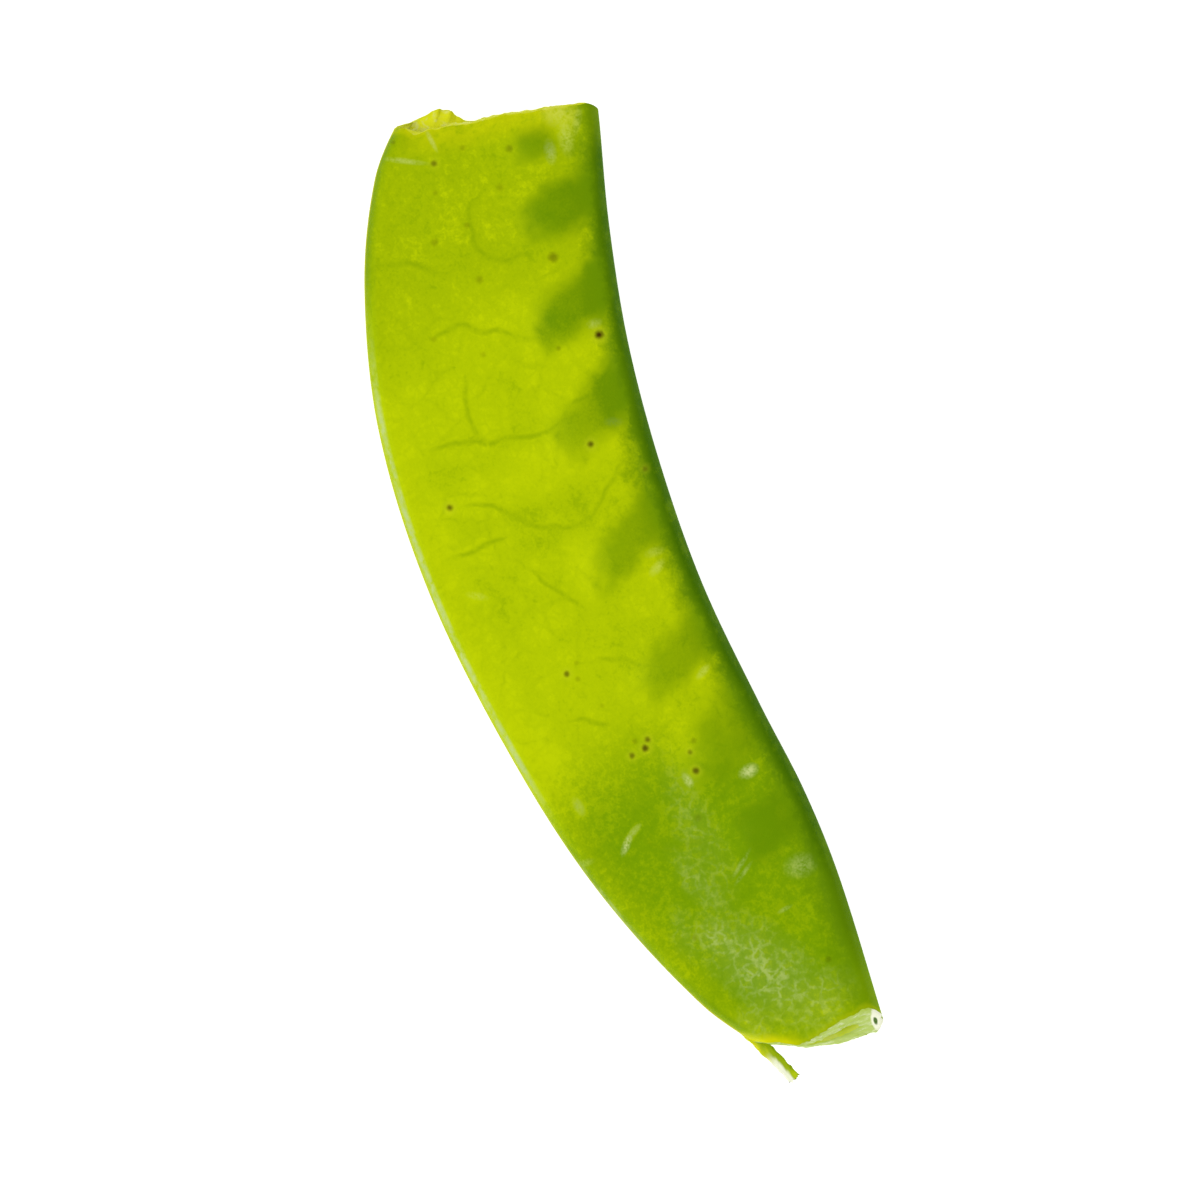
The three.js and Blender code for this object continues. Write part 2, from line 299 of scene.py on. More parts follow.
# Veins of one wall: how clear each is, and the points that it runs through.
VEINS = [
    (0.9, [(-24.4, 3.1), (-24.6, 1.6), (-25.1, 0.6), (-26.2, 0.1), (-27.6, 0.1), (-28.9, 0.7),
           (-29.8, 2.0)]),
    (0.8, [(-27.1, -8.3), (-26.9, -6.4), (-26.6, -4.8), (-26.1, -3.9), (-25.2, -3.1), (-24.8, -2.2)]),
    (1.0, [(-18.7, 2.0), (-19.1, 0.8), (-19.9, -0.3), (-20.3, -1.4), (-20.7, -2.1), (-21.5, -2.8),
           (-21.1, -4.8)]),
    (0.85, [(-12.6, 1.2), (-12.3, 0.0), (-12.6, -1.6), (-12.8, -2.9), (-12.9, -3.8), (-13.5, -4.9),
            (-13.8, -7.8)]),
    (0.45, [(-12.9, -3.8), (-14.3, -4.3), (-16.2, -4.2), (-17.9, -3.8)]),
    (0.5, [(-15.7, 6.7), (-15.0, 5.8), (-14.4, 5.0), (-13.9, 4.0), (-13.5, 2.8), (-13.1, 1.8)]),
    (0.4, [(-8.7, 5.0), (-8.0, 4.0), (-7.0, 3.0), (-6.1, 2.0), (-5.5, 0.9)]),
    (1.0, [(-6.1, 2.0), (-5.5, 0.9), (-5.4, 0.0), (-5.7, -1.0), (-6.4, -2.6), (-7.3, -3.5),
           (-8.2, -4.2), (-8.8, -5.2), (-9.4, -6.6)]),
    (0.5, [(-6.3, -4.8), (-6.2, -6.8), (-6.0, -9.3)]),
    (0.4, [(0.2, -1.2), (-0.7, -1.9), (-2.0, -2.9), (-3.6, -3.9)]),
    (0.5, [(5.6, 1.7), (5.0, 0.8), (4.2, -0.3), (3.8, -1.6)]),
    (0.7, [(8.4, -2.2), (8.0, -3.1), (7.6, -3.8), (7.2, -5.0)]),
    (0.5, [(15.6, -6.0), (16.2, -3.4), (17.9, -1.6), (18.2, 0.9), (19.6, 3.0)]),
    (0.5, [(23.4, -3.6), (24.6, -1.4), (24.3, 0.9), (26.0, 3.2), (25.6, 5.4)]),
]
VEIN_STEP = 0.12
VEIN_WANDER = 0.22
VEIN_WIDE = 0.2
VEIN_RISE = 0.022
VEIN_REACH = 0.6  # how far from a vein's middle its rise is worked out
UNDERSIDE_SHIFT = 3.4  # the lower wall's veins lie this much further along than the upper wall's


def smooth_path(points, step):
    """Points and directions along a smooth curve through the given points, about one step apart."""
    ends = [points[0]] + points + [points[-1]]
    for a, b, c, d in zip(ends, ends[1:], ends[2:], ends[3:]):
        a, b, c, d = (Vector((*point, 0)) for point in (a, b, c, d))
        count = max(2, round((c - b).length / step))
        for i in range(count):
            t = i / count
            spot = b + 0.5 * t * ((c - a) + t * ((2 * a - 5 * b + 4 * c - d) + t * (3 * b - 3 * c + d - a)))
            ahead = 0.5 * ((c - a) + t * (2 * (2 * a - 5 * b + 4 * c - d) + 3 * t * (3 * b - 3 * c + d - a)))
            yield spot, ahead.normalized()


vein_spots = []
for clearness, vein in VEINS:
    path = list(smooth_path(vein, VEIN_STEP))
    for i, (spot, ahead) in enumerate(path):
        wander = Vector((ripple(spot.x * 0.9, spot.y * 0.9, 0), ripple(spot.x * 0.9, spot.y * 0.9, 8), 0))
        tapered = clearness * min(1, 4 * (i + 1) / len(path), 4 * (1 - i / len(path)))
        vein_spots.append((spot + VEIN_WANDER * wander, ahead, tapered))
vein_tree = kdtree.KDTree(len(vein_spots))
for i, (spot, _, _) in enumerate(vein_spots):
    vein_tree.insert(spot, i)
vein_tree.balance()

# How each pea with its stalk shows through the wall as painted shade, from the wide end on: the stalk's
# slant, how wide the shade is as a share of a full one, how dark it is over the stalk, and how dark over
# the pea.
SHOWN_PEAS = [
    (0.1, 0.95, 0.12, 0.68), (0.1, 1.08, 0.86, 0.8), (0.4, 1.14, 0.95, 0.82), (0.5, 1.34, 0.9, 0.56),
    (0.62, 1.14, 0.66, 0.6), (0.5, 1.34, 0.62, 0.58), (0.5, 2.4, 0.55, 0.52), (0.2, 1.6, 0.6, 0.72),
]
SHADE_WIDE = 1.72  # half the width of a full pea's shade
SHADE_LONG = 2.5  # how far it reaches from the pea's centre, towards the back seam
SHADE_FADES = (0.34, 1.46)  # where its soft edge starts and ends, as shares of those sizes
STALK_TO_PEA = (-2.2, -0.4)  # where the stalk's darkness gives way to the pea's


def either(first, second):
    """The larger of two sizes, with a soft change from one to the other."""
    return (first**3 + second**3) ** (1 / 3)


def pea_shade(x, y):
    """How much painted shade the peas and stalks cast on the wall. A stalk's shade is as wide as its pea's.
    """
    shade = 0
    for (pea_x, pea_y, size, _), (slant, wide, over_stalk, over_seed) in zip(HANGING, SHOWN_PEAS):
        if abs(x - pea_x) < PEA_REACH:
            aside = abs(x - pea_x + slant * (y - pea_y)) / (SHADE_WIDE * wide * size)
            below = max(pea_y - y, 0) / (SHADE_LONG * size)
            wobble = 0.22 * ripple(x * 0.55, y * 0.55, pea_x) + 0.16 * ripple(x * 1.3, y * 1.3, pea_x)
            shows = over_seed + (over_stalk - over_seed) * fade(pea_y - y, *STALK_TO_PEA)
            shade = max(shade, shows * fade(either(aside, below) + wobble, *SHADE_FADES))
    return shade


# What the finishes need to know at each point of the walls, worked out once the form is done. The veins stand
# out of the skin a little, but not where it presses on the table.
FACTS = ("from_pea_seam", "from_back_seam", "from_tear", "from_knife", "above_middle")
FACTS += ("pea_shade", "vein_side", "vein_away")
ON_SKIN = 0.2  # a point this close to the outside is a point of the skin
OFF_TABLE = 0.05
layers = {fact: pod_form.verts.layers.float.new(fact) for fact in FACTS}
for point in pod_form.verts:
    x, y, z = point.co
    back, front = seam_at(BACK_SEAM, x), seam_at(PEA_SEAM, x)
    share = min(max((y - back) / (front - back), 0), 1)
    up = z - middle_up(x, y)
    side = math.copysign(1, up)
    over = Vector((x - (0 if up > 0 else UNDERSIDE_SHIFT), y, 0))
    spot, i, away = vein_tree.find(over)
    _, ahead, clearness = vein_spots[i]
    point[layers["from_pea_seam"]] = front - y
    point[layers["from_back_seam"]] = y - back
    point[layers["from_tear"]] = x - wide_end(share, side, False)
    point[layers["from_knife"]] = narrow_end(share, up) - x
    point[layers["above_middle"]] = up
    point[layers["pea_shade"]] = pea_shade(x, y)
    point[layers["vein_side"]] = ahead.x * (over - spot).y - ahead.y * (over - spot).x
    point[layers["vein_away"]] = away + 0.5 * (1 - clearness)
    if abs(up) > outer_half(x, y) - ON_SKIN and away < VEIN_REACH and z > OFF_TABLE:
        point.co.z += side * VEIN_RISE * clearness * bell(away, VEIN_WIDE)


def finished(form, name, materials, nodes):
    """Turns a form in millimetres into a smooth piece that rides on the root and stands for CAD nodes."""
    bmesh.ops.scale(form, vec=(METRES,) * 3, verts=form.verts[:])
    mesh = bpy.data.meshes.new(name)
    form.to_mesh(mesh)
    form.free()
    for material in materials:
        mesh.materials.append(material)
    mesh.shade_smooth()
    piece = bpy.data.objects.new(name, mesh)
    bpy.context.scene.collection.objects.link(piece)
    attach(piece, "root")
    if nodes:
        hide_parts(*nodes)
    return piece


# The skin is thin and waxy, over juicy green tissue that lets light through: the veins and the strings of
# both seams show in it as darker greens, and the peas with their stalks and the thick pea seam as painted
# shade.
# Small brown specks and scuffs lie on it, with painted glints on the peas' bulges and a painted highlight
# along the back seam's ridge.


class Shade:
    """A socket of a material, so that shader maths is written as Python expressions."""

    def __init__(self, tree, socket=None):
        self.tree, self.socket = tree, socket

    def node(self, kind, settings=None, inputs=None, output=0):
        """Any node: its settings come first, then a value or a link for each of its sockets."""
        made = self.tree.nodes.new("ShaderNode" + kind)
        for name, value in (settings or {}).items():
            setattr(made, name, value)
        for name, value in (inputs or {}).items():
            if isinstance(value, Shade):
                self.tree.links.new(value.socket, made.inputs[name])
            else:
                made.inputs[name].default_value = value
        return Shade(self.tree, made.outputs[output])

    def maths(self, operation, first, second=0.0):
        return self.node("Math", {"operation": operation}, {0: first, 1: second})

    def root(self):
        return self.maths("SQRT", self)

    def vector(self, operation, first, second=(0, 0, 0), output=0):
        return self.node("VectorMath", {"operation": operation}, {0: first, 1: second}, output)

    def __add__(self, other):
        return self.maths("ADD", self, other)

    def __sub__(self, other):
        return self.maths("SUBTRACT", self, other)

    def __rsub__(self, other):
        return self.maths("SUBTRACT", other, self)

    def __mul__(self, other):
        return self.maths("MULTIPLY", self, other)

    __radd__, __rmul__ = __add__, __mul__

    def most(self, other):
        return self.maths("MAXIMUM", self, other)

    def size(self):
        return self.maths("ABSOLUTE", self)

    def ramp(self, start, stop):
        """0 up to start, 1 from stop on, and a smooth slope between; the other way round if stop is lower."""
        if stop < start:
            return 1 - self.ramp(stop, start)
        inputs = {"Value": self, "From Min": start, "From Max": stop}
        return self.node("MapRange", {"interpolation_type": "SMOOTHSTEP"}, inputs)

    def blend(self, other, share):
        """This colour, changed to another by a share."""
        return self.node("Mix", {"data_type": "RGBA"}, {0: share, 6: self, 7: other}, output=2)

    def noise(self, scale, detail=2.0, distortion=0.0, output=0):
        """Cloudy noise at this place: about 0.5, with so many patches to the millimetre."""
        inputs = {"Vector": self, "Scale": scale, "Detail": detail, "Distortion": distortion}
        return self.node("TexNoise", {}, inputs, output)

    def borders(self, scale):
        """How far this place is from the nearest border between cells, so many of them to the millimetre."""
        inputs = {"Vector": self, "Scale": scale}
        return self.node("TexVoronoi", {"feature": "DISTANCE_TO_EDGE"}, inputs)

    def fact(self, name):
        return self.node("Attribute", {"attribute_name": name}, output=2)

    def place(self):
        """The point on the piece, in millimetres."""
        return self.vector("MULTIPLY", self.node("TexCoord", output=3), (1 / METRES,) * 3)

    def colour(self, value):
        return self.node("Mix", {"data_type": "RGBA"}, {0: 0.0, 6: value, 7: value}, output=2)

    def bump(self, height):
        """The normal of a relief whose height is in millimetres."""
        return self.node("Bump", {}, {"Strength": 1.0, "Distance": METRES, "Height": height})


def screen(red, green, blue):
    """A colour on a screen's scale of 0 to 255, as the linear colour that a material takes."""
    parts = [part / 255 for part in (red, green, blue)]
    return (*[part / 12.92 if part < 0.04 else ((part + 0.055) / 1.055) ** 2.4 for part in parts], 1)


def new_material(name, **constants):
    """A Principled material with its plain numbers set, and a Shade to start its patterns from."""
    material = bpy.data.materials.new(name)
    material.use_nodes = True
    principled = material.node_tree.nodes["Principled BSDF"]
    for socket, value in constants.items():
        principled.inputs[socket.replace("_", " ")].default_value = value
    return material, principled, Shade(material.node_tree)


def feed(principled, **patterns):
    for socket, shade in patterns.items():
        shade.tree.links.new(shade.socket, principled.inputs[socket.replace("_", " ")])


class WallPoint:
    """A point of the skin: its place, and clouds and grain of several sizes, about 0, that break up edges."""

    def __init__(self, shade):
        self.shade = shade
        self.place = shade.place()
        self.flat = shade.vector("MULTIPLY", self.place, (1, 1, 0))
        self.bent = shade.vector("ADD", self.flat, self.place.noise(0.45, output=1))
        self.broad = self.place.noise(0.13) - 0.5
        self.patchy = self.place.noise(0.5, 3.0, 0.6) - 0.5
        self.grainy = self.place.noise(2.0, 4.0, 0.4) - 0.5
        self.fine = self.place.noise(6.5, 2.0) - 0.5
        self.ragged = self.patchy * 0.5 + self.grainy * 0.35
        self.cells = shade.node("TexVoronoi", {"feature": "F1"}, {"Vector": self.place, "Scale": 3.4}) - 0.4
        self.above = shade.fact("above_middle").ramp(0.12, 0.5)
        self.along = shade.node("SeparateXYZ", {}, {"Vector": self.place}, output=0)
        self.from_front = shade.fact("from_pea_seam")
        self.from_back = shade.fact("from_back_seam")
        self.rib = self.from_back + self.ragged * 0.14


def marks(place, ellipses, softness):
    """Where soft ellipses lie on the upper wall. Each is its x, y, half length, half width, turn from X in
    degrees, and strength."""
    covered = None
    for x, y, long, wide, turn, strength in ellipses:
        inputs = {"Location": (x, y, 0), "Rotation": (0, 0, math.radians(turn)), "Scale": (long, wide, 1)}
        within = place.node("Mapping", {"vector_type": "TEXTURE"}, {"Vector": place, **inputs})
        mark = place.vector("LENGTH", within, output=1).ramp(1 + softness, 1 - softness) * strength
        covered = mark if covered is None else covered.most(mark)
    return covered


MID_GREEN = screen(177, 198, 1)
LIGHT_GREEN = screen(192, 210, 2)
SOFT_GREEN = screen(157, 181, 1)
# The narrow end's deeper green is partly the pod's own and partly painted shade, as from pods under it.
DEEP_GREEN_AND_SHADE = screen(120, 157, 1)
DARK_GREEN = screen(100, 142, 1)
LIGHT_PLACES = [
    (-2.6, -0.2, 2.2, 1.1, 170, 0.6), (-1.0, 4.6, 1.2, 0.6, 120, 0.5), (-3.0, -8.0, 0.7, 0.35, 60, 0.6),
    (7.1, 5.2, 0.9, 0.5, 110, 0.4), (-10.6, 5.2, 1.6, 0.5, 120, 0.35), (-8.0, -9.0, 4.0, 1.2, 0, 0.3),
    (-16.9, 5.0, 1.5, 0.9, 80, 0.3), (9.0, -7.0, 1.6, 1.0, 15, 0.3), (-9.8, -1.0, 1.5, 6.0, 0, 0.65),
    (12.8, 2.4, 2.4, 1.2, 0, 0.6), (-31.9, 8.4, 1.0, 1.4, 0, 0.8), (18.2, 7.0, 0.4, 0.3, 0, 0.9),
    (16.2, -3.3, 0.7, 0.28, 125, 1.2), (13.1, -6.2, 0.7, 0.4, 10, 0.7),
]


def tissue_seen(at):
    """The tissue: lighter beside the back seam, deeper and more mottled towards both ends. Towards the narrow
    end the deeper green is partly its own and partly painted shade, as from other pods lying under it.
    """
    mottled = at.along.ramp(-20, -30) * 0.3 + at.along.ramp(8, 15)
    light = at.broad * 1.3 + at.patchy * 1.4 + at.grainy * (1.1 + mottled)
    light = light + at.fine * (0.6 + mottled * 0.6) + at.cells * 0.2
    light = light + at.from_back.ramp(4, 0.6) * at.along.ramp(-22, -16) * at.along.ramp(15, 9) * 0.45
    light = light + marks(at.flat, LIGHT_PLACES, 0.9) * at.above
    reach = at.along - (at.from_back - 8).size() * 0.35 + at.patchy * 4 + at.broad * 4
    deeper_and_shaded = reach.ramp(6, 15) * (1 - at.from_back.ramp(3, 0.6) * 0.3)
    deeper_and_shaded = deeper_and_shaded * (1 - at.along.ramp(29, 32.5) * 0.35)
    colour = at.shade.colour(MID_GREEN)
    colour = colour.blend(SOFT_GREEN, at.along.ramp(-16, -29) * (0.85 + at.patchy))
    colour = colour.blend(DEEP_GREEN_AND_SHADE, deeper_and_shaded)
    colour = colour.blend(LIGHT_GREEN, light.ramp(-0.05, 0.75) * (0.85 - deeper_and_shaded * 0.6))
    return colour.blend(DARK_GREEN, light.ramp(0.05, -0.7) * 0.4)


VEIN_GREEN = screen(124, 156, 1)


def vein_net(at):
    """The faint net of the finest veins."""
    net = at.bent.borders(1.1).ramp(0.17, 0.0) * 0.14 + at.bent.borders(0.36).ramp(0.12, 0.0) * 0.22
    return net * (at.patchy + at.grainy).ramp(-0.2, 0.3)


def veins_seen(colour, at, net):
    vein = at.shade.fact("vein_side") + at.grainy * 0.25 + at.fine * 0.1
    vein = vein.size().ramp(0.38, 0.0) * at.shade.fact("vein_away").ramp(0.85, 0.25)
    vein = vein * (at.grainy * 1.6 + at.patchy * 2.0).ramp(-0.6, 0.3)
    return colour.blend(VEIN_GREEN, net.most(vein * 0.56))


# Painted shade of the peas, and of the thick pea seam over its strings' own darker green.
PEA_SHADOW_GREEN = screen(97, 137, 1)
BESIDE_SEAM_GREEN_AND_SHADE = screen(100, 136, 1)
SEAM_GREEN_AND_SHADE = screen(65, 105, 1)


def pea_and_seam_shade(colour, at):
    """Painted shade of the peas and their stalks, and the pea seam's own darker strings, deepened by
    painted shade of the thick seam.
    """
    pea = (at.shade.fact("pea_shade") * (1 + at.ragged * 1.2 + at.fine * 0.5)).ramp(0.0, 1.0)
    colour = colour.blend(PEA_SHADOW_GREEN, pea * 0.9)
    by_seam = at.from_front + at.ragged * 2.6 + at.fine * 0.5 - at.along.ramp(-12, -4) * 0.2 + pea * 0.2
    at_ends = at.along.ramp(-28, -32) * 0.55 + at.along.ramp(26, 33) * 0.6
    colour = colour.blend(BESIDE_SEAM_GREEN_AND_SHADE, by_seam.ramp(2.8, 0.7) * (0.92 - at_ends * 0.5))
    darkest = (1 - at_ends - at.along.ramp(19, 25) * 0.55).most(0)
    darkest = darkest * (0.93 + at.patchy * 1.2 + at.grainy * 1.1 + at.fine * 0.6)
    return colour.blend(SEAM_GREEN_AND_SHADE, by_seam.ramp(1.5, 0.3) * darkest)


RIB_GREEN = screen(106, 140, 1)
STRING_YELLOW = screen(186, 184, 14)


def back_seam_seen(colour, at):
    """The back seam's yellow string on the very edge, with a thin dark line inside it at the wide end."""
    off_ridge = (at.shade.fact("above_middle").size() - 0.2).most(0)
    on_string = at.rib + at.ragged * 0.1 - at.along.ramp(27, 30) * 0.03 + off_ridge * 0.36
    near_wide = at.along.ramp(-21, -28)
    edge_deeper = (near_wide * 0.8).most(at.along.ramp(12, 17) * 0.35).most(0.16)
    colour = colour.blend(RIB_GREEN, at.rib.ramp(1.0, 0.0) * edge_deeper)
    near_string = at.along.ramp(25, 30) * at.rib.ramp(0.9, 0.3) * at.rib.ramp(0.1, 0.4)
    colour = colour.blend(RIB_GREEN, near_string * at.along.ramp(32, 31) * 0.6)
    edge_shows = near_wide * 0.25 + at.along.ramp(26, 31) * 0.4 + 0.6
    return colour.blend(STRING_YELLOW, on_string.ramp(0.17, -0.03) * edge_shows * 0.85)


TORN_YELLOW = screen(204, 208, 6)


def thin_ends_seen(colour, at):
    """The torn edge is thin and lets more light through, as does the cut end's corner by the back seam."""
    from_tear = at.shade.fact("from_tear") + at.ragged * 1.1
    thin = from_tear.ramp(0.5, 0.0).most(from_tear.ramp(2.2, 0.2) * at.from_back.ramp(0.5, 4) * 0.7)
    thin = thin * (at.patchy * 1.5 + at.grainy).ramp(-0.6, 0.2) * at.from_front.ramp(0.9, 2.4)
    from_knife = at.shade.fact("from_knife") + at.ragged * 0.8
    corner = from_knife.ramp(1.2, 0.2) * at.from_front.ramp(5.5, 7) + from_knife.ramp(0.5, 0.1) * 0.3
    return colour.blend(TORN_YELLOW, thin.most(corner) * 0.8)


# Painted highlight along the back seam's ridge.
RIDGE_HIGHLIGHT_WHITE = screen(186, 204, 164)


def ridge_highlight(at):
    """A painted highlight along the back seam's ridge."""
    middle = (at.rib - 0.26).size().ramp(0.3, 0.04) * at.along.ramp(-24, -15) * at.along.ramp(14, 7)
    further = (at.rib - 0.03).size().ramp(0.22, 0.05) * at.along.ramp(16, 19) * at.along.ramp(25, 22)
    return middle.most(further * 0.45) * at.above * (at.grainy * 2.0 + at.patchy * 2.0).ramp(-0.6, 0.5)


WAX_WHITE = screen(190, 206, 130)
VEILS = [
    (28.9, 2.9, 4.2, 2.2, 32, 0.8), (25.8, 0.7, 1.9, 1.1, 20, 0.8), (31.4, 5.2, 1.5, 2.4, 0, 0.5),
    (18.0, 1.6, 4.5, 1.2, 5, 0.25), (21.8, 0.6, 2.6, 0.9, 20, 0.35), (31.5, 1.2, 1.4, 1.2, 0, 0.35),
    (24.5, -1.6, 1.6, 0.8, 0, 0.2),
]


def dried_veil(at):
    """Wax that has dried to a pale veil of worm-like lines."""
    lines = at.shade.vector("ADD", at.flat, at.place.noise(1.4, output=1)).borders(1.15).ramp(0.2, 0.02)
    lines = lines * (at.grainy * 1.5 + at.patchy).ramp(-0.3, 0.3)
    return marks(at.bent, VEILS, 0.7) * at.above * (lines * 0.7 + 0.12)


# Whitish scuffs, and painted glints on the peas' bulges.
SCUFF_AND_GLINT_WHITE = screen(222, 231, 158)
SCUFFS_AND_GLINTS = [
    (14.7, 5.8, 0.5, 0.34, 100, 0.75), (13.9, 1.6, 0.4, 0.22, 10, 0.55), (22.1, 7.0, 0.6, 0.8, 0, 0.28),
    (16.0, -3.1, 0.45, 0.17, 118, 0.35), (16.7, -3.9, 0.6, 0.19, 138, 0.8), (17.0, -7.1, 0.5, 0.2, 90, 0.12),
    (13.1, -6.2, 0.5, 0.25, 10, 0.16), (-0.8, 4.5, 0.5, 0.25, 120, 0.2), (-1.9, 4.7, 0.5, 0.25, 90, 0.12),
    (7.1, 5.1, 0.45, 0.2, 120, 0.2), (-32.9, 8.6, 0.9, 0.7, 60, 0.2), (-31.3, 8.5, 1.0, 0.4, 170, 0.24),
    (-30.6, 7.1, 0.6, 0.3, 170, 0.3), (-33.4, -2.7, 1.15, 0.15, 64, 0.28), (-34.1, -0.45, 0.6, 0.13, 8, 0.3),
    (20.6, 3.2, 0.8, 0.13, 130, 0.26), (21.3, 3.1, 0.7, 0.12, 125, 0.24), (-3.1, -8.0, 0.55, 0.2, 60, 0.12),
    (-18.3, 6.0, 0.25, 0.4, 0, 0.2), (-11.4, 5.0, 0.5, 0.25, 70, 0.06),
    (24.6, 5.0, 0.4, 0.12, 100, 0.2), (-34.0, 6.9, 0.5, 0.2, 80, 0.2), (-32.0, 9.5, 0.8, 0.25, 150, 0.18),
]


def scuffs_and_glints(at):
    """Whitish places where the skin was rubbed or scratched, and painted glints on the peas' bulges."""
    uneven = (at.grainy * 1.3 + at.fine * 1.3 + at.patchy).ramp(-0.6, 0.4)
    return marks(at.flat, SCUFFS_AND_GLINTS, 0.8) * at.above * uneven


SPECK_BROWN = screen(66, 48, 4)
SPECK_RING = screen(206, 216, 30)
# Specks of the upper wall, as x, y, radius and strength, and fainter ones that lie deeper in the wall.
SPECKS = [
    (-32.55, -0.8, 0.2, 0.6), (-17.45, 6.1, 0.27, 1.0), (-10.45, 3.0, 0.22, 0.8), (-7.6, 6.0, 0.18, 0.45),
    (-9.55, -7.75, 0.23, 0.8), (4.1, -3.9, 0.2, 0.7), (10.3, -0.1, 0.2, 0.72), (10.8, -0.45, 0.24, 0.85),
    (11.0, -1.5, 0.2, 0.65), (12.1, 2.4, 0.17, 0.55), (13.45, 2.35, 0.22, 0.8),
]
FAINT_SPECKS = [
    (-31.75, 4.5, 0.26, 0.34), (-32.9, 1.45, 0.2, 0.24), (-29.4, 3.0, 0.26, 0.22), (-27.7, -0.05, 0.2, 0.26),
    (-27.35, -2.6, 0.26, 0.28), (-23.6, 4.85, 0.34, 0.5), (-23.85, -0.5, 0.26, 0.3), (-18.85, -2.0, 0.2, 0.2),
    (-17.5, 3.1, 0.16, 0.3), (4.7, -3.3, 0.18, 0.25), (11.4, 2.9, 0.2, 0.25), (16.6, 1.4, 0.24, 0.2),
    (-34.9, -3.0, 0.16, 0.3), (-21.0, -4.9, 0.2, 0.2), (10.1, -1.0, 0.2, 0.25), (24.4, -1.6, 0.2, 0.2),
    (28.9, 6.7, 0.22, 0.25), (-30.6, -1.4, 0.18, 0.2), (3.6, -3.0, 0.16, 0.2), (7.0, -2.3, 0.15, 0.15),
]


def specked(place, specks, unevenness, soft):
    """How brown the specks are: each as strong as it says, from soft radii out to nothing."""
    brown = None
    for x, y, radius, strength in specks:
        away = place.vector("DISTANCE", place, (x, y, 0), output=1) * (1 / radius) + unevenness
        speck = away.ramp(soft, 0.2) * strength
        brown = speck if brown is None else brown.most(speck)
    return brown


def brown_specks(at):
    clear = specked(at.flat, SPECKS, at.grainy * 0.9, 1.7)
    return clear.most(specked(at.flat, FAINT_SPECKS, at.grainy * 0.9, 1.6)) * at.above


def skin_material():
    material, principled, shade = new_material("pod_skin", Specular_IOR_Level=0.012)
    at = WallPoint(shade)
    net = vein_net(at)
    veil, scuff_and_glint, speck = dried_veil(at), scuffs_and_glints(at), brown_specks(at)
    ring = specked(at.flat, SPECKS, at.grainy * 0.6, 3.4) * at.above

    colour = veins_seen(tissue_seen(at), at, net)
    colour = thin_ends_seen(back_seam_seen(pea_and_seam_shade(colour, at), at), at)
    # Over it lie a painted highlight along the back seam's ridge, the dried veil, scuffs with painted glints,
    # and specks.
    colour = colour.blend(RIDGE_HIGHLIGHT_WHITE, ridge_highlight(at) * 0.5)
    colour = colour.blend(WAX_WHITE, veil * 0.75)
    colour = colour.blend(SCUFF_AND_GLINT_WHITE, scuff_and_glint * 0.8)
    colour = colour.blend(SPECK_RING, ring * 0.4)
    colour = colour.blend(SPECK_BROWN, speck)

    height = at.grainy * 0.03 + at.fine * 0.012 + at.patchy * 0.05 + at.cells * 0.004
    height = height - net * 0.02 - speck * 0.03
    feed(
        principled,
        Base_Color=colour,
        Roughness=0.4 + at.patchy * 0.12 + at.grainy * 0.1 + scuff_and_glint * 0.2 + veil * 0.15 + speck * 0.2,
        Normal=shade.bump(height),
    )
    return material


# Cut and torn tissue is wet and pale, with fibres that run from seam to seam. The pea seam's string shows in
# it as a white ring with a dark green core.
PEA_CORD_IN = 0.5  # how far inside the seam's edge the middle of that string lies
TISSUE = screen(178, 200, 98)
TISSUE_GREEN = screen(163, 190, 30)
TISSUE_WHITE = screen(240, 243, 214)
CORD_CORE = screen(66, 104, 8)


def cut_tissue():
    material, principled, shade = new_material("cut_tissue", Specular_IOR_Level=0.08)
    place = shade.place()
    fibres = shade.vector("MULTIPLY", place, (3.2, 0.7, 2.2)).noise(1.0, 3.0, 0.5) - 0.5
    grainy = place.noise(3.0, 3.0) - 0.5
    torn = shade.fact("from_tear").ramp(3, 2)
    colour = shade.colour(TISSUE)
    colour = colour.blend(TISSUE_GREEN, (fibres * 1.5 + grainy * 0.5).ramp(0.0, 0.4) * 0.75)
    colour = colour.blend(TISSUE_WHITE, (fibres * 1.5 + grainy * 0.5).ramp(-0.02, -0.4) * 0.6)
    colour = colour.blend(TORN_YELLOW, torn * (0.86 + fibres * 0.3))
    inward = shade.fact("from_pea_seam") - PEA_CORD_IN + grainy * 0.06
    upward = shade.fact("above_middle") * 0.5
    from_cord = (inward * inward * 2.2 + upward * upward).root()
    cap = (from_cord + inward * 0.7).ramp(0.78, 0.5) * (1 - torn)
    colour = colour.blend(TISSUE_WHITE, cap)
    colour = colour.blend(CORD_CORE, from_cord.ramp(0.27, 0.15) * (1 - torn))
    height = fibres * 0.1 + grainy * 0.05
    feed(principled, Base_Color=colour, Roughness=0.35 + grainy * 0.2, Normal=shade.bump(height))
    return material


LINING_GREEN = screen(190, 208, 36)
LINING_SILVER = screen(205, 217, 96)
THIN_TORN_GLOW = screen(222, 226, 6)


